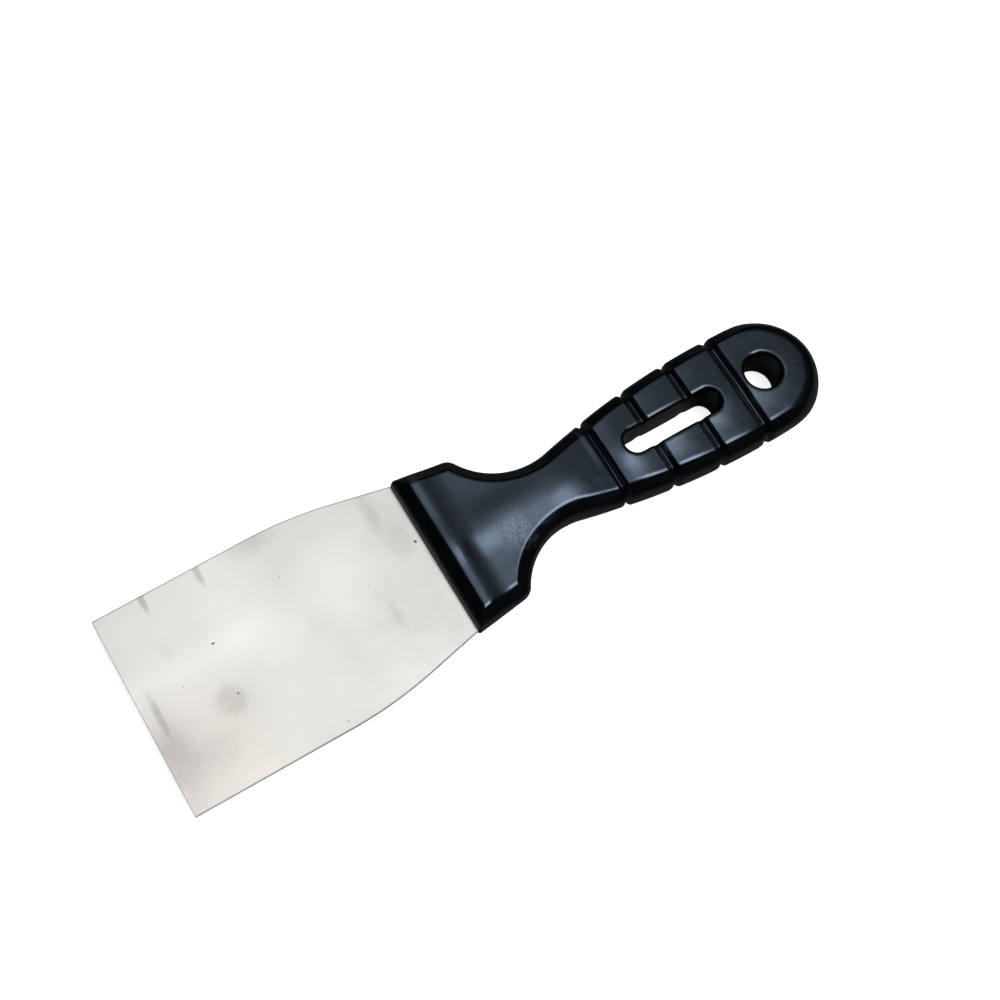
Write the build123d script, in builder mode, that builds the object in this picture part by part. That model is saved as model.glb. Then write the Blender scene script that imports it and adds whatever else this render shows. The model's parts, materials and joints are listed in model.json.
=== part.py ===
"""Ink knife: a flexible steel blade whose tang is moulded into a one-piece plastic handle.

The knife lies flat. +X runs from the blade's tip to the hanging hole, +Y across the
blade and +Z up. The origin is the bottom centre of the knife's box. Millimetres.
"""
import os
from math import atan2, cos, hypot, radians, sin, sqrt, tan

from build123d import *

# --- overall sizes ---------------------------------------------------------
knife_length = 217.0      # blade tip to the round end of the handle
handle_thick = 14.0
half_thick = handle_thick / 2
tip_x = -knife_length / 2

# --- blade -----------------------------------------------------------------
tip_half_width = 30.0
belly_half_width = 30.3   # the sides open very slightly up to here
belly_x = tip_x + 46.0
side_arc_radius = 120.0   # turns each side inwards to the handle
side_lean = 12.0          # degrees, of the straight stretch that enters the handle
blade_thick = 1.0
tip_thick = 0.5
ground_length = 58.0      # stretch over which the blade is ground thinner

# --- hidden tang -----------------------------------------------------------
hidden_lean = 45.0                # degrees, the sides turn in steeply inside the handle's head
tang_root_x = tip_x + 99.0        # end of the wide part inside the head
tang_half_width = 6.5
tang_root_fillet = 5.0
tang_end_x = tip_x + 143.0
key_hole_radius = 3.0             # plastic flows through these and locks the blade
head_key_x = tip_x + 94.0
head_key_spacing = 22.0
tang_key_radius = 2.5
tang_key_first_x = tip_x + 113.0
tang_key_pitch = 12.0
tang_key_count = 3

# --- handle outline, at the parting line -----------------------------------
front_x = tip_x + 88.3
front_half_width = 24.9
front_corner_radius = 1.2
head_side_lean = 7.3              # degrees, the head narrows towards the waist
shoulder_radius = 4.7
waist_radius = 21.3
waist_x = tip_x + 125.9
waist_half_width = 10.2
grip_radius = 245.0
end_radius = 17.6
end_centre_x = knife_length / 2 - end_radius

# --- handle section --------------------------------------------------------
wall_height = 4.5                 # side wall, above and below the parting line
wall_inset = 0.65                 # mould draft over that height
face_inset = 4.0                  # from the parting line to the edge of the flat face
face_corner_radius = 0.5
face_edge_fillet = 0.5

# --- handle details --------------------------------------------------------
groove_first_x = tip_x + 144.3
groove_pitch = 15.2
groove_count = 4
groove_width = 3.0
groove_depth = 1.0
side_groove_depth = 0.9
slot_x = tip_x + 167.1
slot_length = 31.8
slot_width = 7.1
hole_x = tip_x + 198.8
hole_radius = 5.3
rim_fillet = 1.4

groove_xs = [groove_first_x + groove_pitch * i for i in range(groove_count)]


def circle_crossing(centre_a, radius_a, centre_b, radius_b):
    """Lower crossing of two circles, used to find the centre of a tangent arc."""
    run = centre_b[0] - centre_a[0]
    rise = centre_b[1] - centre_a[1]
    gap = hypot(run, rise)
    along = (radius_a**2 - radius_b**2 + gap**2) / (2 * gap)
    across = sqrt(radius_a**2 - along**2)
    foot = (centre_a[0] + along * run / gap, centre_a[1] + along * rise / gap)
    first = (foot[0] + across * rise / gap, foot[1] - across * run / gap)
    second = (foot[0] - across * rise / gap, foot[1] + across * run / gap)
    return min(first, second, key=lambda point: point[1])


def towards(start, goal, distance):
    """Point at a distance from start on the line to goal."""
    run = goal[0] - start[0]
    rise = goal[1] - start[1]
    span = hypot(run, rise)
    return (start[0] + distance * run / span, start[1] + distance * rise / span)


def arc_points(centre, radius, start, end):
    """Start, middle and end of the arc about centre, for a three-point arc."""
    start_angle = atan2(start[1] - centre[1], start[0] - centre[0])
    end_angle = atan2(end[1] - centre[1], end[0] - centre[0])
    halfway = (start_angle + end_angle) / 2
    middle = (centre[0] + radius * cos(halfway), centre[1] + radius * sin(halfway))
    return start, middle, end


def corners_near(outline, point):
    """The sketch's two corners at point and at its mirror image across the middle."""
    corners = outline.vertices()
    return [corner for corner in corners if hypot(corner.X - point[0], abs(corner.Y) - point[1]) < 0.1]


# The waist and grip arcs bulge opposite ways; the grip arc runs on into the round end.
waist_centre = (waist_x, waist_half_width + waist_radius)
end_centre = (end_centre_x, 0.0)
grip_centre = circle_crossing(waist_centre, waist_radius + grip_radius, end_centre, grip_radius - end_radius)


def outline_at(inset):
    """Sketch of the handle outline, moved inwards by inset."""
    lean = radians(head_side_lean)
    waist = waist_radius + inset
    grip = grip_radius - inset
    end = end_radius - inset
    waist_to_grip = towards(waist_centre, grip_centre, waist)
    grip_to_end = towards(grip_centre, end_centre, grip)
    end_point = (end_centre_x + end, 0)

    # The head's straight side meets the front and the waist arc at corners that are then rounded.
    front = (front_x + inset, front_half_width - inset * (sin(lean) + 1) / cos(lean))
    run = waist_centre[0] - front[0]
    rise = waist_centre[1] - front[1]
    gap = run * sin(lean) + rise * cos(lean)
    reach = run * cos(lean) - rise * sin(lean) - sqrt(waist**2 - gap**2)
    shoulder = (front[0] + reach * cos(lean), front[1] - reach * sin(lean))

    with BuildSketch() as outline:
        with BuildLine():
            Polyline((front[0], 0), front, shoulder)
            ThreePointArc(*arc_points(waist_centre, waist, shoulder, waist_to_grip))
            ThreePointArc(*arc_points(grip_centre, grip, waist_to_grip, grip_to_end))
            ThreePointArc(*arc_points(end_centre, end, grip_to_end, end_point))
            mirror(about=Plane.XZ)
        make_face()
        fillet(corners_near(outline, shoulder), shoulder_radius - inset)
        fillet(corners_near(outline, front), max(front_corner_radius - inset, face_corner_radius))
    return outline.sketch


# --- blade -----------------------------------------------------------------
# Each side: a nearly straight stretch, one long arc, and a straight run up to the handle. Inside the
# head it turns in, so that the plastic closes round the blade's shoulders.
belly = (belly_x, belly_half_width)
belly_lean = atan2(belly_half_width - tip_half_width, belly_x - tip_x)
side_arc_centre = (
    belly_x + side_arc_radius * sin(belly_lean),
    belly_half_width - side_arc_radius * cos(belly_lean),
)
arc_end = (
    side_arc_centre[0] + side_arc_radius * sin(radians(side_lean)),
    side_arc_centre[1] + side_arc_radius * cos(radians(side_lean)),
)
entry = (front_x, arc_end[1] - (front_x - arc_end[0]) * tan(radians(side_lean)))
root_half_width = entry[1] - (tang_root_x - front_x) * tan(radians(hidden_lean))
tang_root = (tang_root_x, tang_half_width)
tang_round_centre = (tang_end_x - tang_half_width, 0)
tang_round_start = (tang_end_x - tang_half_width, tang_half_width)

with BuildPart() as blade:
    with BuildSketch(Plane.XY.offset(half_thick - blade_thick)) as blade_plan:
        with BuildLine():
            Polyline((tip_x, 0), (tip_x, tip_half_width), belly)
            ThreePointArc(*arc_points(side_arc_centre, side_arc_radius, belly, arc_end))
            Polyline(arc_end, entry, (tang_root_x, root_half_width), tang_root, tang_round_start)
            ThreePointArc(*arc_points(tang_round_centre, tang_half_width, tang_round_start, (tang_end_x, 0)))
            mirror(about=Plane.XZ)
        make_face()
        fillet(corners_near(blade_plan, tang_root), tang_root_fillet)
        with Locations((head_key_x, 0)):
            with GridLocations(1, head_key_spacing, 1, 2):
                Circle(key_hole_radius, mode=Mode.SUBTRACT)
        for index in range(tang_key_count):
            with Locations((tang_key_first_x + tang_key_pitch * index, 0)):
                Circle(tang_key_radius, mode=Mode.SUBTRACT)
    extrude(amount=2 * blade_thick)

    # Both faces are ground towards the tip.
    with BuildSketch(Plane.XZ):
        Polygon(
            (tip_x, half_thick - tip_thick / 2),
            (tip_x + ground_length, half_thick - blade_thick / 2),
            (tang_end_x, half_thick - blade_thick / 2),
            (tang_end_x, half_thick + blade_thick / 2),
            (tip_x + ground_length, half_thick + blade_thick / 2),
            (tip_x, half_thick + tip_thick / 2),
            align=None,
        )
    extrude(amount=2 * belly_half_width, both=True, mode=Mode.INTERSECT)
blade.part.label = "blade"

# --- handle ----------------------------------------------------------------
# The grooves run right round the grip, so what they leave is a thinner core.
with BuildPart() as groove_core:
    for height, inset in (
        (0, side_groove_depth),
        (wall_height - side_groove_depth, wall_inset + side_groove_depth),
        (half_thick - groove_depth, face_inset),
    ):
        with BuildSketch(Plane.XY.offset(half_thick + height)):
            add(outline_at(inset))
    loft(ruled=True)
    mirror(about=Plane.XY.offset(half_thick))

with BuildPart() as grooves:
    with BuildSketch():
        for groove_x in groove_xs:
            with Locations((groove_x, 0)):
                Rectangle(groove_width, 4 * end_radius)
    extrude(amount=handle_thick)
    add(groove_core.part, mode=Mode.SUBTRACT)

with BuildPart() as handle:
    # One mould half, from the parting line up: a drafted wall, then a bevel to the flat face.
    for height, inset in ((0, 0), (wall_height, wall_inset), (half_thick, face_inset)):
        with BuildSketch(Plane.XY.offset(half_thick + height)):
            add(outline_at(inset))
    loft(ruled=True)
    fillet(handle.faces().sort_by(Axis.Z)[-1].edges(), face_edge_fillet)

    # Finger slot and hanging hole.
    with BuildSketch(Plane.XY.offset(half_thick)):
        with Locations((slot_x, 0)):
            SlotOverall(slot_length, slot_width)
        with Locations((hole_x, 0)):
            Circle(hole_radius)
    extrude(amount=half_thick, mode=Mode.SUBTRACT)
    face_wires = handle.faces().sort_by(Axis.Z)[-1].inner_wires()
    fillet([edge for wire in face_wires for edge in wire.edges()], rim_fillet)
    mirror(about=Plane.XY.offset(half_thick))

    # Grooves, and the pocket that the tang fills.
    add(grooves.part, mode=Mode.SUBTRACT)
    add(blade.part, mode=Mode.SUBTRACT)
handle.part.label = "handle"

os.makedirs("parts", exist_ok=True)
export_step(blade.part, "parts/blade.step")
export_step(handle.part, "parts/handle.step")
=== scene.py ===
"""The looks of the ink knife: a satin steel blade in a glossy black moulded handle.

The handle's surface is worked out from a distance field, which gives it the mould's draft,
soft edges, rounded grooves, and faces with pillowed panels, a low swelling along the middle,
a raised lip at the head's front and a dip before the first groove. It stands for the CAD
node handle. The blade is the CAD's own mesh.
"""
import json
import math

import bpy
import numpy as np
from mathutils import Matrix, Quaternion, Vector


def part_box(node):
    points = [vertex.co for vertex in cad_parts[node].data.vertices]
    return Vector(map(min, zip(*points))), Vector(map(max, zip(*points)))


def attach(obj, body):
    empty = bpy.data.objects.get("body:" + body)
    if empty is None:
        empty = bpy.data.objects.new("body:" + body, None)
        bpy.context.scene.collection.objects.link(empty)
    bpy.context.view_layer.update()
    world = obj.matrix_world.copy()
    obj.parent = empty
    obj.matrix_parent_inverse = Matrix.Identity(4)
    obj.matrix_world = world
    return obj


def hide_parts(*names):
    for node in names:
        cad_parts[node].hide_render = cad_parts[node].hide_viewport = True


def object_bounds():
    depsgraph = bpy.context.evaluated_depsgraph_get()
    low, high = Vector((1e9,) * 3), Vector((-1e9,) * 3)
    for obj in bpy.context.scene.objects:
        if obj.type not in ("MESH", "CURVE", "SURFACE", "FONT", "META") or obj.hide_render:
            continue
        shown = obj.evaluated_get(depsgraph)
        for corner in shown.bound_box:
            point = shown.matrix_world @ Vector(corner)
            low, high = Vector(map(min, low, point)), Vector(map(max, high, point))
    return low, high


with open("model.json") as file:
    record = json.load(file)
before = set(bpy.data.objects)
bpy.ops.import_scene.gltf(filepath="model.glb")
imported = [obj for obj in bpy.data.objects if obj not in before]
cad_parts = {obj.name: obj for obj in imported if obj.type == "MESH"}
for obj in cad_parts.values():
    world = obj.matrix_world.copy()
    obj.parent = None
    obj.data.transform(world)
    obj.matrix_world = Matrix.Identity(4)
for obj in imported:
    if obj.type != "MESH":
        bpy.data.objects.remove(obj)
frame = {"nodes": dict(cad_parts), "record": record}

MM = 0.001
cad_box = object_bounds()


def millimetres(point):
    """A point of the frame, in millimetres."""
    return [value / MM for value in point]


# --- places, from the frame ------------------------------------------------
blade_low, blade_high = map(millimetres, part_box("blade"))
handle_low, handle_high = map(millimetres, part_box("handle"))
mounts = {mount["name"]: mount for mount in frame["record"]["mounts"]}
finger_slot = frame["record"]["physics"]["openings"][0]["box_m"]

tip_x = blade_low[0]
middle_z = (handle_low[2] + handle_high[2]) / 2
half_thick = (handle_high[2] - handle_low[2]) / 2
hole_x = mounts["hang_hole"]["pos_m"][0] / MM
hole_radius = mounts["hang_hole"]["dims"]["r_mm"]
slot_x = (finger_slot[0][0] + finger_slot[1][0]) / 2 / MM

# --- handle outline at the parting line, millimetres -----------------------
front_x = tip_x + 88.3
front_corner = np.array([front_x, 24.9])      # where front and side would meet, before rounding
front_corner_radius = 1.2
head_lean = math.radians(7.3)
shoulder_radius = 4.7
waist_radius = 21.3
waist_centre = np.array([tip_x + 125.9, 10.2 + waist_radius])
grip_radius = 245.0
end_radius = 17.6
end_x = handle_high[0]
end_centre = np.array([end_x - end_radius, 0.0])

# --- handle section --------------------------------------------------------
wall_height = 4.5
wall_inset = 0.65
face_inset = 4.0
wall_edge_radius = 3.0
face_edge_radius = 1.8
cut_draft = math.tan(math.radians(1.2))       # the slot and the hole open a little outwards

# --- handle details --------------------------------------------------------
groove_xs = [tip_x + 144.3 + 15.2 * index for index in range(4)]
groove_half_widths = [1.5, 1.75, 1.75, 2.0]
groove_depth = 1.0
groove_fullness = 0.85                        # below 1, the groove is fuller than a cosine
slot_groove_share = 0.6                       # how much of a groove reaches the slot's rims
slot_groove_fade = 8                          # how fast that fades from the faces to mid-thickness
slot_half_length = 15.8
slot_half_width = 3.47
rim_radius = 1.4
end_softness = 2.4                            # the round end's edges are this much softer
end_soft_from = end_centre[0] - 3
end_soft_full = end_centre[0] + 9

# --- shape of the flat faces -----------------------------------------------
panel_edges = [front_x + face_inset, *groove_xs, end_x - face_inset]
edge_sags = [0.0, 0.60, 0.28, 0.28, 0.32, 0.30]   # how far each panel edge lies below the middles
ridge_height = 0.40                           # of the low swelling along the middle of each face
ridge_spread = 4.3
head_ridge = 0.24                             # the swelling is this much higher in the head
head_ridge_x = tip_x + 113.0
head_ridge_length = 8.0
lip_height = 0.85                             # of the raised band along the front edge
lip_end = front_x + 5.6
lip_foot = front_x + 14.1
lip_fade = front_x + 42.0
waist_drop = 0.55                             # how far the faces dip just before the first groove
waist_drop_start = tip_x + 130.5
waist_drop_end = (groove_xs[0] - 0.3, groove_xs[0] + 1.2)

# --- pocket for the hidden steel -------------------------------------------
tang_half_thick = 0.5
tang_half_width = 6.5
entry_half_width = 25.05                      # 0.9 mm wider than the CAD's blade is here
shoulder_length = 10.7

# --- blade outline ---------------------------------------------------------
side_arc_top_x = tip_x + 46.8                 # the sides are furthest out here
side_arc_radius = 120.0
side_widening = 0.3 / 46                      # slope of the sides between the tip and the arc
side_lean = math.radians(12)                  # of the straight stretch that enters the handle


# --- handle outline --------------------------------------------------------
def unit(vector):
    """The same direction, with length 1."""
    return vector / np.hypot(*vector)


def tangent_circle(centre_a, reach_a, centre_b, reach_b):
    """Centre at reach_a from centre_a and reach_b from centre_b, on the lower side."""
    across = centre_b - centre_a
    gap = np.hypot(*across)
    along = (reach_a**2 - reach_b**2 + gap**2) / (2 * gap)
    aside = math.sqrt(reach_a**2 - along**2)
    run, rise = across / gap
    options = [centre_a + along * np.array([run, rise]) + side * aside * np.array([rise, -run])
               for side in (1, -1)]
    return min(options, key=lambda option: option[1])


def make_outline():
    """The outline's lines and arcs from the middle of the front to the round end, for y above 0."""
    along_head = np.array([math.cos(head_lean), -math.sin(head_lean)])
    into_head = np.array([-math.sin(head_lean), -math.cos(head_lean)])

    corner_drop = front_corner_radius * (1 + math.sin(head_lean)) / math.cos(head_lean)
    corner_centre = front_corner + np.array([front_corner_radius, -corner_drop])
    corner_start = np.array([front_x, corner_centre[1]])
    corner_end = corner_centre - into_head * front_corner_radius

    # The shoulder's centre lies one radius inside the head's side and one outside the waist's arc.
    start = front_corner + into_head * shoulder_radius - waist_centre
    half_run = -start @ along_head
    reach = waist_radius + shoulder_radius
    travel = half_run - math.sqrt(half_run**2 - start @ start + reach**2)
    shoulder_centre = waist_centre + start + along_head * travel
    shoulder_start = shoulder_centre - into_head * shoulder_radius
    shoulder_end = waist_centre + unit(shoulder_centre - waist_centre) * waist_radius

    grip_centre = tangent_circle(
        waist_centre, waist_radius + grip_radius, end_centre, grip_radius - end_radius
    )
    waist_end = waist_centre + unit(grip_centre - waist_centre) * waist_radius
    grip_end = grip_centre + unit(end_centre - grip_centre) * grip_radius
    last = end_centre + np.array([end_radius, 0.0])
    return [
        ("line", np.array([front_x, 0.0]), corner_start),
        ("arc", corner_centre, front_corner_radius, corner_start, corner_end),
        ("line", corner_end, shoulder_start),
        ("arc", shoulder_centre, shoulder_radius, shoulder_start, shoulder_end),
        ("hollow arc", waist_centre, waist_radius, shoulder_end, waist_end),
        ("arc", grip_centre, grip_radius, waist_end, grip_end),
        ("arc", end_centre, end_radius, grip_end, last),
    ]


outline = make_outline()


def cross(a, b):
    """Positive where b is anticlockwise of a."""
    return a[0] * b[1] - a[1] * b[0]


def line_depth(x, y, start, end):
    """Distance from a line, and how far inside it each point is. Inside is on its right."""
    direction = unit(end - start)
    run = x - start[0]
    rise = y - start[1]
    along = run * direction[0] + rise * direction[1]
    beyond = along - np.clip(along, 0, np.hypot(*(end - start)))
    inside = run * direction[1] - rise * direction[0]
    return np.hypot(beyond, inside), inside


def arc_depth(x, y, centre, radius, start, end, hollow):
    """Distance from an arc, and how far inside it each point is. Outside a hollow arc is inside."""
    offset = (x - centre[0], y - centre[1])
    span = np.hypot(*offset)
    turn = -1 if hollow else 1
    past_start = turn * cross(start - centre, offset) <= 0
    before_end = turn * cross(offset, end - centre) <= 0
    to_ends = np.minimum(np.hypot(x - start[0], y - start[1]), np.hypot(x - end[0], y - end[1]))
    inside = turn * (radius - span)
    return np.where(past_start & before_end, np.abs(inside), to_ends), inside


def outline_depth(x, y):
    """How far each point is inside the handle's outline."""
    y = np.abs(y)
    nearest = np.full(np.shape(x), np.inf)
    depth = np.zeros(np.shape(x))
    for kind, *facts in outline:
        if kind == "line":
            distance, inside = line_depth(x, y, *facts)
        else:
            distance, inside = arc_depth(x, y, *facts, hollow=kind == "hollow arc")
        closer = distance < nearest
        nearest = np.where(closer, distance, nearest)
        depth = np.where(closer, np.sign(inside) * distance, depth)
    return depth


# --- handle's distance field -----------------------------------------------
def round_join(a, b, radius, turn=math.pi / 2):
    """The larger of two fields, their edge rounded to a radius, where the surface turns by turn."""
    width = radius * (1 - math.cos(turn))
    overlap = np.maximum(width - np.abs(a - b), 0)
    return np.maximum(a, b) + overlap**2 / (4 * width)


def groove_cut(x):
    """Depth of the grooves that ring the grip, with rounded rims and bottoms."""
    cut = np.zeros(np.shape(x))
    for groove_x, half_width in zip(groove_xs, groove_half_widths):
        across = np.clip(np.abs(x - groove_x) / half_width, 0, 1)
        cut = cut + groove_depth * (0.5 + 0.5 * np.cos(math.pi * across)) ** groove_fullness
    return cut


def smooth_rise(value, start, end):
    """Goes smoothly from 0 to 1 while value goes from start to end."""
    share = np.clip((value - start) / (end - start), 0, 1)
    return share * share * (3 - 2 * share)


def bell(offset, spread):
    """A bell curve: 1 at offset 0, falling to 0 either side."""
    return np.exp(-(offset**2) / (2 * spread**2))


def face_sag(x, y):
    """How far the flat faces lie below a true plane."""
    panel = np.interp(x, panel_edges, range(len(panel_edges)))
    edge_sag = np.interp(panel, range(len(edge_sags)), edge_sags)
    from_middle = np.abs(2 * (panel - np.floor(panel)) - 1)
    pillow = edge_sag * np.where(panel < 1, from_middle**3, from_middle**2)

    # The lip stands out because the face falls steeply behind it, then comes slowly back up.
    along_lip = np.clip((x - lip_end) / (lip_foot - lip_end), 0, 1)
    valley = lip_height * (1 - (1 - along_lip) ** 3 * (1 + 3 * along_lip))
    valley = valley * (1 - smooth_rise(x, lip_foot, lip_fade))

    ridge = ridge_height + head_ridge * bell(x - head_ridge_x, head_ridge_length)
    beside_ridge = ridge * (1 - bell(y, ridge_spread))

    dip = waist_drop * smooth_rise(x, waist_drop_start, groove_xs[0])
    dip = dip * (1 - smooth_rise(x, *waist_drop_end))
    return pillow + valley + beside_ridge + dip


def steel_depth(x, y):
    """How far each point is inside the pocket: its 45 degree shoulders, or its round-ended tang."""
    y = np.abs(y)
    slope = (entry_half_width - (x - front_x) - y) / math.sqrt(2)
    shoulders = np.minimum(slope, front_x + shoulder_length - x)
    nose = np.maximum(x - (blade_high[0] - tang_half_width), 0)
    tang = tang_half_width - np.hypot(nose, y)
    return np.maximum(shoulders, tang)


def handle_field(x, y, z):
    """Roughly the distance outside the handle's surface; negative inside the plastic."""
    depth = outline_depth(x, y)
    height = np.abs(z - middle_z)

    draft = math.atan2(wall_inset, wall_height)
    wall = wall_inset / wall_height * height - depth
    wall = wall * math.cos(draft)
    bevel_angle = math.atan2(half_thick - wall_height, face_inset - wall_inset)
    sag = face_sag(x, y)
    bevel = (height + sag - wall_height) * math.cos(bevel_angle)
    bevel = bevel - (depth - wall_inset) * math.sin(bevel_angle)
    face = height + sag - half_thick

    softness = 1 + end_softness * smooth_rise(x, end_soft_from, end_soft_full)
    wall_turn = math.pi / 2 - draft - bevel_angle
    body = round_join(wall, bevel, wall_edge_radius * softness, wall_turn)
    body = round_join(body, face, face_edge_radius * softness, bevel_angle)

    slot_along = np.maximum(np.abs(x - slot_x) - (slot_half_length - slot_half_width), 0)
    slot = slot_half_width + cut_draft * height - np.hypot(slot_along, y)
    hole = hole_radius + cut_draft * height - np.hypot(x - hole_x, y)
    cut = groove_cut(x)
    slot = slot + slot_groove_share * cut * (height / half_thick) ** slot_groove_fade
    body = round_join(body + cut, slot, rim_radius)
    body = round_join(body, hole, rim_radius)

    pocket = np.minimum(tang_half_thick - height, steel_depth(x, y))
    return np.maximum(body, pocket)


def field_slope(points, step=0.02):
    """The field's gradient, by central differences."""
    slope = np.empty_like(points)
    for axis in range(3):
        ahead = points.copy()
        behind = points.copy()
        ahead[:, axis] += step
        behind[:, axis] -= step
        slope[:, axis] = (handle_field(*ahead.T) - handle_field(*behind.T)) / (2 * step)
    return slope


def onto_surface(points, rounds, least_steepness=0.25):
    """Moves points along the field's slope until they lie on the surface."""
    for _ in range(rounds):
        slope = field_slope(points)
        steepness = np.maximum((slope**2).sum(axis=1), least_steepness)
        points = points - slope * (handle_field(*points.T) / steepness)[:, None]
    return points


# --- handle mesh -----------------------------------------------------------
groove_zone = 2.5
groove_spacing = 0.3
front_zone = 7
front_spacing = 0.4
plain_spacing = 0.55
cross_reach = 25.85
cross_spacing = 0.46
length_margin = 0.6

# Heights above mid-thickness: coarse up the wall, finer over the bevel, then close to the face.
wall_layers = np.arange(0.25, 4.5, 0.5)
bevel_layers = np.arange(4.65, 6.9, 0.3)
face_layers = [6.88, 7.2]


def grid_lines(start, end, spacing):
    """Places of grid lines from start to end, as far apart as spacing says at each place."""
    places = [start]
    while places[-1] < end:
        places.append(places[-1] + spacing(places[-1]))
    return np.array(places)


def length_spacing(x):
    """Spacing along the handle: finest at the grooves, fine at the front, coarser elsewhere."""
    near_groove = min(abs(x - groove_x) for groove_x in groove_xs) < groove_zone
    if near_groove:
        return groove_spacing
    near_front = x < front_x + front_zone
    return front_spacing if near_front else plain_spacing


def surface_net(xs, ys, zs):
    """Vertices and quads of the surface, one vertex in each grid cell that it passes through."""
    plan_x, plan_y = np.meshgrid(xs, ys, indexing="ij")
    shape = (len(xs), len(ys), len(zs))
    values = np.empty(shape)
    for layer, z in enumerate(zs):
        values[:, :, layer] = handle_field(plan_x, plan_y, np.full(plan_x.shape, z))
    solid = values < 0

    corners = [(i, j, k) for i in (0, 1) for j in (0, 1) for k in (0, 1)]
    cells = tuple(size - 1 for size in shape)
    count = sum(
        solid[i:i + cells[0], j:j + cells[1], k:k + cells[2]].astype(int) for i, j, k in corners
    )
    mixed = (count > 0) & (count < 8)
    cell = np.argwhere(mixed)
    number = np.full(cells, -1)
    number[mixed] = np.arange(len(cell))

    # Each vertex starts at the mean of the places where the surface crosses the cell's edges.
    axes = (xs, ys, zs)
    total = np.zeros((len(cell), 3))
    crossings = np.zeros(len(cell))
    for axis in range(3):
        for corner in corners:
            if corner[axis]:
                continue
            near = cell + corner
            far = near.copy()
            far[:, axis] += 1
            near_value = values[tuple(near.T)]
            far_value = values[tuple(far.T)]
            crossed = (near_value < 0) != (far_value < 0)
            share = np.where(crossed, near_value / np.where(crossed, near_value - far_value, 1), 0)
            place = np.stack([axes[a][near[:, a]] for a in range(3)], axis=1)
            step = axes[axis][far[:, axis]] - axes[axis][near[:, axis]]
            place[:, axis] += share * step
            total += place * crossed[:, None]
            crossings += crossed
    points = total / crossings[:, None]

    # Each grid edge that crosses the surface makes a quad of the four cells around it.
    quads = []
    for axis in range(3):
        first, second = [other for other in range(3) if other != axis]
        low = [slice(None)] * 3
        high = [slice(None)] * 3
        low[axis] = slice(0, -1)
        high[axis] = slice(1, None)
        leaving = solid[tuple(low)] & ~solid[tuple(high)]
        entering = ~solid[tuple(low)] & solid[tuple(high)]
        for change, outward in ((leaving, True), (entering, False)):
            edge = np.argwhere(change)
            around = []
            for back_first, back_second in ((1, 1), (0, 1), (0, 0), (1, 0)):
                place = edge.copy()
                place[:, first] -= back_first
                place[:, second] -= back_second
                around.append(number[tuple(place.T)])
            quad = np.stack(around, axis=1)
            flip = outward == (axis == 1)
            quads.append(quad[:, ::-1] if flip else quad)
    return points, np.concatenate(quads)


def relax(points, quads, rounds):
    """Evens out the quads, keeping the points on the surface."""
    starts = quads.ravel()
    ends = np.roll(quads, -1, axis=1).ravel()
    ways_out = np.bincount(starts, minlength=len(points))
    ways_in = np.bincount(ends, minlength=len(points))
    for _ in range(rounds):
        mean = np.empty_like(points)
        for axis in range(3):
            mean[:, axis] = (
                np.bincount(starts, points[ends, axis], len(points))
                + np.bincount(ends, points[starts, axis], len(points))
            ) / (ways_out + ways_in)
        points = onto_surface(points + 0.5 * (mean - points), 2)
    return points


def make_handle():
    """The moulded handle, as one closed mesh with the field's own normals."""
    upper = np.concatenate([wall_layers, bevel_layers, face_layers])
    xs = grid_lines(front_x - length_margin, end_x + length_margin, length_spacing)
    ys = np.arange(-cross_reach, cross_reach, cross_spacing)
    zs = middle_z + np.concatenate([-upper[::-1], upper])
    points, quads = surface_net(xs, ys, zs)
    points = onto_surface(points, 3)
    points = relax(points, quads, 3)
    normals = field_slope(points)
    lengths = np.linalg.norm(normals, axis=1)
    normals /= np.maximum(lengths, 1e-6)[:, None]      # never divides by zero

    mesh = bpy.data.meshes.new("moulded_handle")
    mesh.from_pydata((points * MM).tolist(), [], quads.tolist())
    mesh.shade_smooth()
    mesh.normals_split_custom_set_from_vertices(normals.tolist())
    handle = bpy.data.objects.new("moulded_handle", mesh)
    bpy.context.scene.collection.objects.link(handle)
    return handle


# --- material nodes --------------------------------------------------------
def add_node(tree, kind, inputs=None, **settings):
    """A shader node with its settings, and with its inputs linked or set."""
    made = tree.nodes.new("ShaderNode" + kind)
    for name, value in settings.items():
        setattr(made, name, value)
    for name, value in (inputs or {}).items():
        if isinstance(value, bpy.types.NodeSocket):
            tree.links.new(value, made.inputs[name])
        else:
            made.inputs[name].default_value = value
    return made


def math_of(tree, operation, a, b=0.0, c=0.0):
    """The result of a math node; a, b and c are numbers or sockets."""
    return add_node(tree, "Math", {0: a, 1: b, 2: c}, operation=operation).outputs[0]


def blend_of(tree, factor, a, b):
    """Colour a where factor is 0, colour b where it is 1."""
    made = add_node(tree, "Mix", {"Factor": factor}, data_type="RGBA")
    for name, value in ((6, a), (7, b)):
        if isinstance(value, bpy.types.NodeSocket):
            tree.links.new(value, made.inputs[name])
        else:
            made.inputs[name].default_value = value
    return made.outputs[2]


def soft_step(tree, value, low, high, start=0.0, end=1.0):
    """Rises smoothly from start to end while value goes from low to high."""
    inputs = {"Value": value, "From Min": low, "From Max": high, "To Min": start, "To Max": end}
    return add_node(tree, "MapRange", inputs, interpolation_type="SMOOTHSTEP").outputs["Result"]


def grey(level):
    """A grey as red, green, blue and alpha."""
    return (level, level, level, 1)


def place_in_mm(tree):
    """The surface point's place in the part's frame, in millimetres."""
    place = add_node(tree, "TexCoord").outputs["Object"]
    inputs = {0: place, "Scale": 1 / MM}
    return add_node(tree, "VectorMath", inputs, operation="SCALE").outputs[0]


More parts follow.
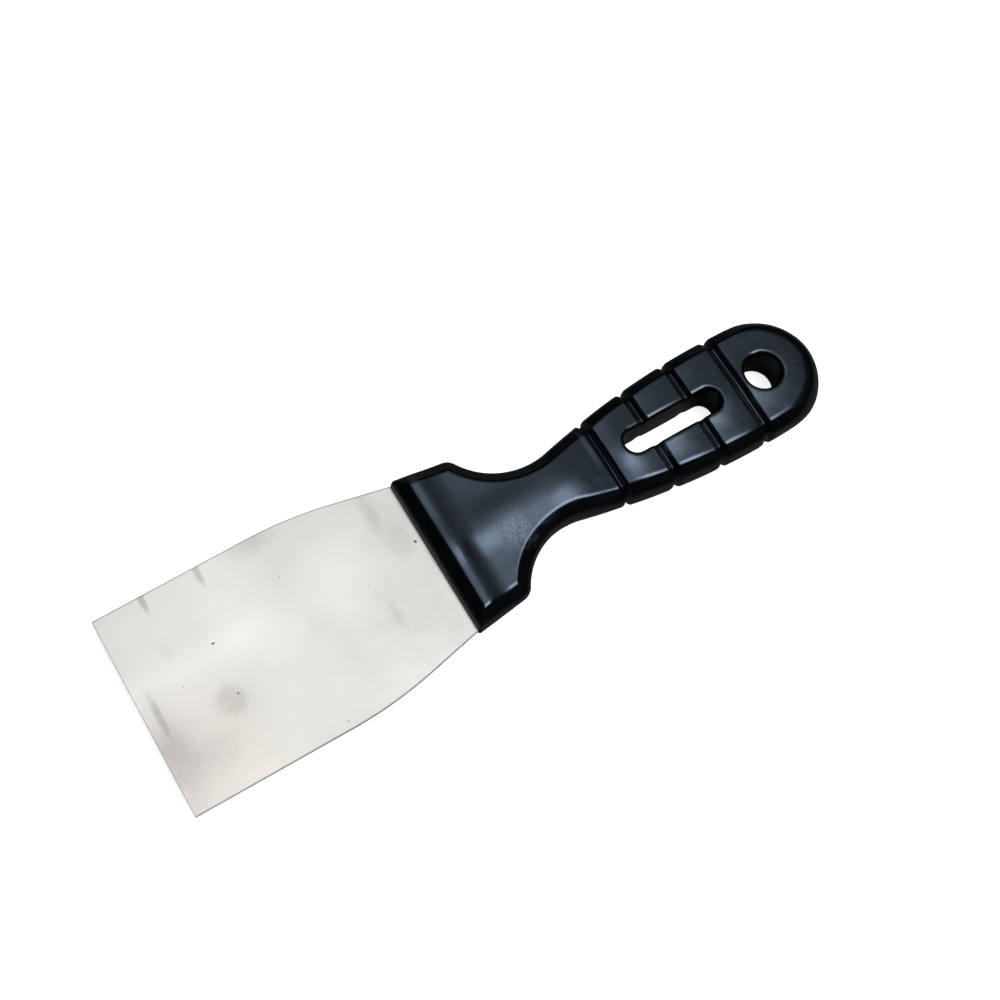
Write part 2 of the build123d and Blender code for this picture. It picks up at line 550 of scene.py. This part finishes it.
def noise_of(tree, place, scale, detail=3.0, roughness=0.5, distortion=0.0, seed=0.0):
    """Noise from 0 to 1. seed is the place along a fourth axis, so it is the same each run."""
    inputs = {
        "Vector": place, "W": seed, "Scale": scale, "Detail": detail, "Roughness": roughness,
        "Distortion": distortion,
    }
    return add_node(tree, "TexNoise", inputs, noise_dimensions="4D").outputs["Fac"]


def turned(tree, place, angle, scale):
    """The place turned about Z and stretched, for a texture with a direction."""
    inputs = {"Vector": place, "Rotation": (0, 0, angle), "Scale": scale}
    return add_node(tree, "Mapping", inputs, vector_type="POINT").outputs[0]


def mark(tree, place, centre, size, angle, soft, ragged, seed):
    """1 inside an oval mark in the XY plane and 0 outside it, with a ragged soft edge."""
    inputs = {0: place, 1: (*centre, 0)}
    moved = add_node(tree, "VectorMath", inputs, operation="SUBTRACT").outputs[0]
    flat = turned(tree, moved, -angle, (1 / size[0], 1 / size[1], 0))
    reach = add_node(tree, "VectorMath", {0: flat}, operation="LENGTH").outputs["Value"]
    wander = noise_of(tree, place, 2.0 / min(size), detail=4, seed=seed)
    reach = math_of(tree, "MULTIPLY_ADD", wander, 2 * ragged, reach)
    return soft_step(tree, reach, 1 + ragged - soft, 1 + ragged + soft, 1.0, 0.0)


def marks_of(tree, place, marks, soft, ragged):
    """How strongly any mark covers the point. Each is (from_tip, y), size, angle, strength."""
    covered = None
    for seed, ((from_tip, y), size, angle, strength) in enumerate(marks):
        spot = mark(tree, place, (tip_x + from_tip, y), size, angle, soft, ragged, 1.7 * seed)
        spot = math_of(tree, "MULTIPLY", spot, strength)
        covered = spot if covered is None else math_of(tree, "MAXIMUM", covered, spot)
    return covered


def scratch_lines(tree, place, angle, spacing, length, share, seed):
    """Fine lines at an angle, each a few millimetres long. share is how few there are."""
    stretched = turned(tree, place, angle, (1 / length, 1 / spacing, 1 / length))
    streaks = noise_of(tree, stretched, 1.0, detail=0, seed=seed)
    patches = noise_of(tree, place, 0.09, detail=2, seed=seed + 3)
    level = math_of(tree, "MULTIPLY_ADD", patches, 0.35, streaks)
    return soft_step(tree, level, share, share + 0.05)


def tinted(tree, colour, tint, mask, share=None):
    """The colour, taken towards the tint where the mask is 1, all the way or by a share."""
    factor = mask if share is None else math_of(tree, "MULTIPLY", mask, share)
    return blend_of(tree, factor, colour, tint)


def with_layers(tree, total, layers):
    """The total, plus an amount of each layer."""
    for layer, amount in layers:
        total = math_of(tree, "MULTIPLY_ADD", layer, amount, total)
    return total


def bump_of(tree, relief):
    """The normal of a surface with this relief, in millimetres."""
    inputs = {"Height": relief, "Strength": 1.0, "Distance": MM}
    return add_node(tree, "Bump", inputs).outputs["Normal"]


def finish_material(tree, shader_inputs):
    """Adds the shader and links it to the output."""
    shader = add_node(tree, "BsdfPrincipled", shader_inputs)
    output = add_node(tree, "OutputMaterial")
    tree.links.new(shader.outputs["BSDF"], output.inputs["Surface"])


def new_tree(name):
    """A new material and its empty node tree."""
    material = bpy.data.materials.new(name)
    material.use_nodes = True
    material.node_tree.nodes.clear()
    return material, material.node_tree


def handle_plastic():
    """Black moulded plastic: glossy, a little wavy, with scuffs that also carry painted sheen, dust
    and a few scratches.
    """
    material, tree = new_tree("handle_plastic")
    place = place_in_mm(tree)

    cloud = noise_of(tree, place, 0.10, detail=4, seed=4.0)
    mottle = noise_of(tree, place, 0.7, detail=5, roughness=0.6, seed=2.0)
    grain = noise_of(tree, place, 4.5, detail=3, seed=8.0)

    long_scratches = scratch_lines(tree, place, 0.9, 0.14, 5.0, 0.96, 11.0)
    cross_scratches = scratch_lines(tree, place, -0.5, 0.12, 4.0, 0.97, 23.0)
    scratches = math_of(tree, "MAXIMUM", long_scratches, cross_scratches)

    # The scuffs are wear and also painted sheen: their pale grey stands in for highlights on the
    # head and along the near side of the faces.
    scuffs_and_sheen = marks_of(tree, place, (
        ((111.3, -5.0), (4.0, 4.4), 0.2, 1.0),
        ((118.5, -6.3), (4.0, 1.4), 0.1, 0.35),
        ((130.0, -5.5), (2.2, 1.4), 0.0, 0.2),
        ((163.5, -6.5), (2.8, 2.2), 0.5, 0.4),
        ((178.5, -7.0), (1.8, 2.4), 0.0, 0.2),
        ((194.0, -6.3), (2.0, 3.0), -0.3, 0.3),
    ), soft=0.85, ragged=0.6)
    crazing = noise_of(tree, place, 1.0, detail=5, roughness=0.62, distortion=0.8, seed=12.0)
    wear_and_sheen = math_of(tree, "MULTIPLY", scuffs_and_sheen, soft_step(tree, crazing, 0.34, 0.66))
    # The rubbed rims are wear and also a painted highlight along two rim edges.
    rubbed_rims_and_glints = marks_of(tree, place, (
        ((141.5, 4.0), (0.7, 5.5), 0.0, 0.25),
        ((93.9, 14.0), (1.0, 8.0), 0.0, 0.22),
    ), soft=0.9, ragged=0.3)
    wear_and_sheen = math_of(tree, "MAXIMUM", wear_and_sheen, rubbed_rims_and_glints)

    speck_cells = add_node(tree, "TexVoronoi", {"Vector": place, "Scale": 0.30, "Randomness": 1.0})
    speck = soft_step(tree, speck_cells.outputs["Distance"], 0.025, 0.06, 1.0, 0.0)
    few = soft_step(tree, noise_of(tree, place, 0.35, seed=31.0), 0.55, 0.6)
    speck = math_of(tree, "MULTIPLY", speck, few)

    deep_black = (0.0014, 0.0016, 0.0022, 1)
    soft_black = (0.0028, 0.0031, 0.0040, 1)
    # The pale grey of the wear is also the colour of the painted sheen.
    wear_and_sheen_grey = (0.155, 0.185, 0.215, 1)
    dust = grey(0.14)
    colour = blend_of(tree, cloud, deep_black, soft_black)
    colour = tinted(tree, colour, wear_and_sheen_grey, wear_and_sheen, 0.8)
    colour = tinted(tree, colour, dust, speck, 0.6)

    polish = soft_step(tree, cloud, 0.3, 0.7, 0.11, 0.18)
    roughness = with_layers(tree, polish, ((mottle, 0.06), (scratches, 0.12), (wear_and_sheen, 0.04)))

    wave = math_of(tree, "MULTIPLY", noise_of(tree, place, 0.11, detail=1, seed=41.0), 0.12)
    raised = math_of(tree, "MULTIPLY", scuffs_and_sheen, crazing)
    relief = with_layers(
        tree, wave, ((mottle, 0.005), (grain, 0.0012), (scratches, -0.005), (raised, 0.018))
    )

    # The bluish specular tint is the cool cast of the photograph's reflections.
    finish_material(tree, {
        "Base Color": colour,
        "Roughness": roughness,
        "IOR": 1.53,
        "Specular Tint": (0.58, 0.76, 1.0, 1),
        "Normal": bump_of(tree, relief),
    })
    return material


def depth_in_blade(tree, x, y):
    """How far a point is inside the blade's long sides, in millimetres."""
    def calc(operation, *operands):
        return math_of(tree, operation, *operands)

    before_top = calc("SUBTRACT", side_arc_top_x, calc("MINIMUM", x, side_arc_top_x))
    past_top = calc("MAXIMUM", calc("SUBTRACT", x, side_arc_top_x), 0)
    on_arc = calc("MINIMUM", past_top, side_arc_radius * math.sin(side_lean))
    minus_arc = calc("MULTIPLY", on_arc, -1)
    arc_height = calc("SQRT", calc("MULTIPLY_ADD", on_arc, minus_arc, side_arc_radius**2))
    on_straight = calc("SUBTRACT", past_top, on_arc)

    arc_centre_y = blade_high[1] - side_arc_radius
    half_width = calc("MULTIPLY_ADD", before_top, -side_widening, arc_centre_y)
    half_width = calc("ADD", half_width, arc_height)
    half_width = calc("MULTIPLY_ADD", on_straight, -math.tan(side_lean), half_width)
    return calc("SUBTRACT", half_width, calc("ABSOLUTE", y))


def blade_steel():
    """Satin steel with a fine lengthwise grain, soft grey smears, ink streaks and specks.

    The broad bright band and the glare are painted highlights, the dimmer part by the handle is
    painted shade, and the darker rims and sides are painted dark reflections, all fixed in the
    steel's colour.
    """
    material, tree = new_tree("blade_steel")
    place = place_in_mm(tree)
    x, y, _ = add_node(tree, "SeparateXYZ", {0: place}).outputs
    normal = add_node(tree, "TexCoord").outputs["Normal"]
    upright = add_node(tree, "SeparateXYZ", {0: normal}).outputs[2]
    # Painted dark reflections: the blade's sides and a band along its rims are coloured darker,
    # standing in for the dark room they reflect.
    painted_side_shade = soft_step(tree, math_of(tree, "ABSOLUTE", upright), 0.75, 0.98, 1.0, 0.0)
    painted_side_rim_shade = soft_step(tree, depth_in_blade(tree, x, y), 0.15, 0.45, 0.75, 0.0)
    painted_tip_rim_shade = soft_step(tree, math_of(tree, "SUBTRACT", x, tip_x), 0.15, 0.40, 0.45, 0.0)
    painted_rim_shade = math_of(tree, "MAXIMUM", painted_side_rim_shade, painted_tip_rim_shade)

    along_grain = turned(tree, place, 0.0, (0.05, 5.0, 1.0))
    grain = noise_of(tree, along_grain, 1.0, detail=5, roughness=0.7)
    along_bands = turned(tree, place, 0.0, (0.012, 0.16, 1.0))
    bands = noise_of(tree, along_bands, 1.0, detail=2, seed=3.0)
    cloud = noise_of(tree, place, 0.045, detail=4, seed=6.0)
    mottle = noise_of(tree, place, 0.35, detail=5, roughness=0.65, seed=9.0)
    scratches = math_of(
        tree, "MAXIMUM",
        scratch_lines(tree, place, 0.15, 0.09, 14.0, 0.90, 15.0),
        scratch_lines(tree, place, -1.2, 0.08, 7.0, 0.93, 27.0),
    )
    smears = marks_of(tree, place, (
        ((4.0, -4.0), (1.0, 7.5), 0.03, 0.36),
        ((3.5, -14.0), (5.5, 9.0), 0.2, 0.22),
        ((9.0, -18.0), (9.0, 5.0), -0.1, 0.12),
        ((47.0, 29.0), (5.5, 3.0), 0.0, 0.14),
        ((79.5, 20.0), (1.8, 7.0), 0.12, 0.16),
        ((71.8, -9.0), (1.2, 4.5), -0.15, 0.12),
        ((83.0, 9.0), (3.2, 5.0), 0.0, 0.10),
        ((80.0, 27.0), (3.0, 3.0), 0.0, 0.12),
        ((13.5, 13.0), (1.6, 3.0), 0.1, 0.06),
        ((51.0, 2.0), (2.2, 5.0), -0.3, 0.05),
    ), soft=0.7, ragged=0.5)
    smudge = marks_of(tree, place, (
        ((22.3, -7.2), (3.9, 4.2), 0.0, 0.20),
    ), soft=0.45, ragged=0.35)
    streaks = marks_of(tree, place, (
        ((14.2, 29.0), (0.8, 3.8), 0.08, 0.42),
        ((30.6, 28.6), (0.9, 3.8), 0.15, 0.36),
    ), soft=0.55, ragged=0.5)
    specks = marks_of(tree, place, (
        ((25.2, 8.6), (0.40, 0.30), 0.3, 0.8),
        ((13.0, 2.0), (0.34, 0.22), 0.8, 0.3),
        ((49.3, 16.3), (0.36, 0.30), 0.1, 0.3),
        ((24.6, -6.7), (0.30, 0.36), 0.0, 0.6),
        ((46.2, -27.9), (0.42, 0.26), 0.0, 0.35),
        ((86.5, 6.5), (0.34, 0.46), 0.2, 0.8),
        ((69.0, 1.6), (0.40, 0.40), 0.0, 0.15),
    ), soft=0.4, ragged=0.25)
    dark = math_of(tree, "MAXIMUM", smears, math_of(tree, "MAXIMUM", smudge, streaks))
    dark = math_of(tree, "MULTIPLY", dark, soft_step(tree, mottle, 0.2, 0.7, 0.6, 1.1))

    # Painted highlights: a broad bright band and a glare across the blade, put into its colour by
    # place.
    painted_sheen = math_of(
        tree, "MULTIPLY",
        soft_step(tree, y, -12.0, 8.0),
        soft_step(tree, x, tip_x + 25, tip_x + 55, 1.0, 0.35),
    )
    painted_glare = math_of(
        tree, "MULTIPLY",
        soft_band(tree, y, 1.0, 7.0, 8.5, 13.0),
        soft_step(tree, x, tip_x + 22, tip_x + 50, 1.0, 0.0),
    )
    # Painted shade: the steel is coloured dimmer towards the handle.
    painted_handle_shade = math_of(
        tree, "MULTIPLY",
        soft_step(tree, x, tip_x + 64, tip_x + 86),
        soft_step(tree, y, 8.0, 26.0, 1.0, 0.45),
    )
    cloudy_x = math_of(tree, "MULTIPLY_ADD", cloud, 30.0, x)
    greener = soft_step(tree, cloudy_x, tip_x + 30, tip_x + 65)

    # Of these colours, the bright and glaring steels are painted highlights, the dim steel is
    # painted shade, and the rim and edge greys are painted dark reflections.
    warm_steel = (0.632, 0.606, 0.574, 1)
    green_steel = (0.552, 0.564, 0.529, 1)
    painted_sheen_steel = (0.81, 0.795, 0.765, 1)
    painted_glare_steel = (0.84, 0.83, 0.80, 1)
    painted_shade_steel = (0.43, 0.43, 0.413, 1)
    ink_film = (0.16, 0.145, 0.13, 1)
    dried_ink = (0.03, 0.03, 0.03, 1)
    painted_rim_shade_grey = (0.14, 0.14, 0.15, 1)
    painted_side_shade_grey = (0.08, 0.08, 0.085, 1)
    colour = blend_of(tree, greener, warm_steel, green_steel)
    for tint, mask, share in (
        (painted_sheen_steel, painted_sheen, 0.7),
        (painted_glare_steel, painted_glare, 0.4),
        (painted_shade_steel, painted_handle_shade, 0.6),
        (grey(0.45), grain, 0.22),
        (ink_film, dark, None),
        (dried_ink, specks, None),
        (painted_rim_shade_grey, painted_rim_shade, None),
        (painted_side_shade_grey, painted_side_shade, 0.85),
    ):
        colour = tinted(tree, colour, tint, mask, share)

    polish = soft_step(tree, cloud, 0.3, 0.7, 0.38, 0.44)
    roughness = with_layers(
        tree, polish, ((mottle, 0.06), (grain, 0.08), (dark, 0.15), (specks, 0.2))
    )
    relief = math_of(tree, "MULTIPLY", grain, 0.0015)
    relief = with_layers(tree, relief, ((bands, 0.01), (scratches, -0.002), (specks, 0.03)))

    finish_material(tree, {
        "Base Color": colour,
        "Metallic": 1.0,
        "Roughness": roughness,
        "Normal": bump_of(tree, relief),
    })
    return material


# --- studio ----------------------------------------------------------------
def make_floor():
    """A plain floor, far larger than the view: white to the camera, dark grey to other light."""
    mesh = bpy.data.meshes.new("studio_floor")
    reach = 4.0
    corners = [(-reach, -reach, 0), (reach, -reach, 0), (reach, reach, 0), (-reach, reach, 0)]
    mesh.from_pydata(corners, [], [(0, 1, 2, 3)])
    floor = bpy.data.objects.new("studio_floor", mesh)
    bpy.context.scene.collection.objects.link(floor)
    material, tree = new_tree("pale_floor")
    seen = add_node(tree, "LightPath").outputs["Is Camera Ray"]
    finish_material(tree, {
        "Base Color": blend_of(tree, seen, grey(0.12), grey(0.9)),
        "Roughness": 0.9,
        "Specular IOR Level": 0.0,
        "Emission Color": grey(1.0),
        "Emission Strength": math_of(tree, "MULTIPLY", seen, 0.8),
    })
    mesh.materials.append(material)


def soft_lamp(tree, direction, towards, core, edge, strength):
    """The light of a soft-edged round lamp: core and edge are angles from its middle."""
    inputs = {0: direction, 1: Vector(towards).normalized()}
    facing = add_node(tree, "VectorMath", inputs, operation="DOT_PRODUCT").outputs["Value"]
    edge_facing = math.cos(math.radians(edge))
    core_facing = math.cos(math.radians(core))
    return soft_step(tree, facing, edge_facing, core_facing, 0, strength)


def soft_band(tree, value, rise_start, rise_end, fall_start, fall_end):
    """1 between rise_end and fall_start, falling smoothly to 0 outside."""
    rise = soft_step(tree, value, rise_start, rise_end)
    return math_of(tree, "MULTIPLY", rise, soft_step(tree, value, fall_start, fall_end, 1.0, 0.0))


def make_studio_light():
    """A wide soft panel overhead, a brighter box beside it, a dim lamp past it, and a dark room.

    Their edges are along the X and Y of the direction that the light comes from.
    """
    world = bpy.data.worlds.new("studio")
    bpy.context.scene.world = world
    world.use_nodes = True
    tree = world.node_tree
    tree.nodes.clear()
    direction = add_node(tree, "TexCoord").outputs["Generated"]
    x, y, z = add_node(tree, "SeparateXYZ", {0: direction}).outputs

    panel_across = soft_band(tree, x, -0.30, -0.12, 0.14, 0.36)
    panel_along = soft_band(tree, y, -0.60, -0.30, 0.24, 0.44)
    panel = math_of(tree, "MULTIPLY", panel_across, panel_along)
    panel = math_of(tree, "MULTIPLY", panel, 1.65)

    box_across = soft_band(tree, x, 0.12, 0.25, 0.25, 0.45)
    box_along = soft_band(tree, y, -0.75, -0.50, 0.02, 0.24)
    box_strength = soft_step(tree, y, -0.15, 0.02, 14.0, 11.0)
    box = math_of(tree, "MULTIPLY", math_of(tree, "MULTIPLY", box_across, box_along), box_strength)

    lamp = soft_lamp(tree, direction, (0.30, 0.35, 0.88), 9, 22, 0.66)
    room = soft_step(tree, z, 0.35, 0.95, 0.004, 0.05)
    overhead = math_of(tree, "ADD", box, panel)
    light = math_of(tree, "ADD", overhead, math_of(tree, "ADD", lamp, room))

    # The camera sees a white backdrop. Only other rays see the lights.
    seen = add_node(tree, "LightPath").outputs["Is Camera Ray"]
    studio = add_node(tree, "Background", {"Color": grey(1.0), "Strength": light})
    backdrop = add_node(tree, "Background", {"Color": grey(1.0), "Strength": 1.0})
    mixed = add_node(tree, "MixShader", {0: seen, 1: studio.outputs[0], 2: backdrop.outputs[0]})
    output = add_node(tree, "OutputWorld")
    tree.links.new(mixed.outputs[0], output.inputs["Surface"])


def make_camera():
    """Above the blade's near side, looking down at the handle's front, rolled a little."""
    centre = (Vector(cad_box[0]) + Vector(cad_box[1])) / 2
    aim_offset = Vector((4.84, 5.50, 0)) * MM
    target = centre + aim_offset
    distance = 421.6 * MM
    elevation = math.radians(69.54)
    azimuth = math.radians(-42.41)        # from looking along +Y, turned towards -X
    roll = math.radians(11.91)
    looking = Vector((
        -math.cos(elevation) * math.sin(azimuth),
        math.cos(elevation) * math.cos(azimuth),
        -math.sin(elevation),
    ))
    data = bpy.data.cameras.new("camera")
    data.lens = 54.0
    data.sensor_width = 36.0
    data.clip_start = 0.01
    camera = bpy.data.objects.new("camera", data)
    camera.location = target - looking * distance
    camera.rotation_mode = "QUATERNION"
    camera.rotation_quaternion = Quaternion(looking, -roll) @ looking.to_track_quat("-Z", "Y")
    bpy.context.scene.collection.objects.link(camera)
    bpy.context.scene.camera = camera


# --- the object ------------------------------------------------------------
make_camera()
make_studio_light()
make_floor()
bpy.context.scene.view_settings.view_transform = "Standard"

handle = make_handle()
handle.data.materials.append(handle_plastic())
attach(handle, "root")
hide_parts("handle")

blade = frame["nodes"]["blade"]
steel = blade_steel()
for material_slot in blade.material_slots:
    material_slot.material = steel

# A small bevel takes the sharpness off the blade's edges.
edges = blade.modifiers.new("worn_edges", "BEVEL")
edges.width = 0.18 * MM
edges.segments = 2
edges.limit_method = "ANGLE"
edges.angle_limit = math.radians(40)
edges.harden_normals = True
